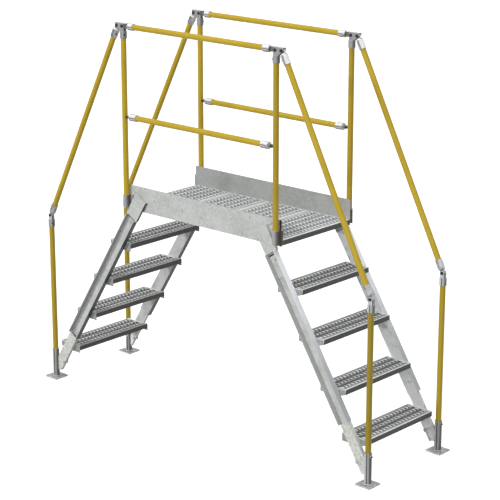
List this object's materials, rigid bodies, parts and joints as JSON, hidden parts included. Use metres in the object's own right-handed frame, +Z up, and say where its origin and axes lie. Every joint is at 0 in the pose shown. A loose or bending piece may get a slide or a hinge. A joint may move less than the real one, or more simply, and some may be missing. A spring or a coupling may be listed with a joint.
{
  "type": "crossover platform with two steep stair flights and pipe handrails",
  "caption": "Free-standing steel crossover: steep flights of grating treads on both sides rise to a small deck with side plates, inside yellow pipe handrails on swivel fittings.",
  "frame": {"origin": "on the floor under the middle of the deck", "axes": "+X along the crossing, +Y across it, +Z up"},
  "size_m": [2.6424, 0.744, 2.3527],
  "materials": {
    "galvanised_steel": "hot-dip galvanised, matt",
    "plank_grating": "galvanised plank grating",
    "yellow_paint": "yellow powder coat",
    "zinc_fittings": "zinc plated"
  },
  "bodies": {
    "root": {"tread_right_1": "plank_grating", "tread_right_2": "plank_grating", "tread_right_3": "plank_grating", "tread_right_4": "plank_grating", "tread_left_1": "plank_grating", "tread_left_2": "plank_grating", "tread_left_3": "plank_grating", "tread_left_4": "plank_grating", "deck_plank_1": "plank_grating", "deck_plank_2": "plank_grating", "deck_plank_3": "plank_grating", "deck_plank_4": "plank_grating", "side_plate_front": "galvanised_steel", "top_rail_front": "yellow_paint", "mid_rail_front": "yellow_paint", "side_plate_back": "galvanised_steel", "top_rail_back": "yellow_paint", "mid_rail_back": "yellow_paint", "stringer_front_right": "galvanised_steel", "stringer_front_left": "galvanised_steel", "stringer_back_right": "galvanised_steel", "stringer_back_left": "galvanised_steel", "foot_front_right": "galvanised_steel", "foot_front_left": "galvanised_steel", "foot_back_right": "galvanised_steel", "foot_back_left": "galvanised_steel", "post_front_right": "yellow_paint", "post_front_left": "yellow_paint", "post_back_right": "yellow_paint", "post_back_left": "yellow_paint", "end_post_front_right": "yellow_paint", "end_post_front_left": "yellow_paint", "end_post_back_right": "yellow_paint", "end_post_back_left": "yellow_paint", "slope_rail_front_right": "yellow_paint", "slope_rail_front_left": "yellow_paint", "slope_rail_back_right": "yellow_paint", "slope_rail_back_left": "yellow_paint", "top_brackets": "galvanised_steel", "post_clamps": "galvanised_steel", "corner_caps": "zinc_fittings", "knuckle_caps": "zinc_fittings", "swivel_sleeves": "zinc_fittings", "mid_rail_sleeves": "zinc_fittings"}
  },
  "joints": []
}
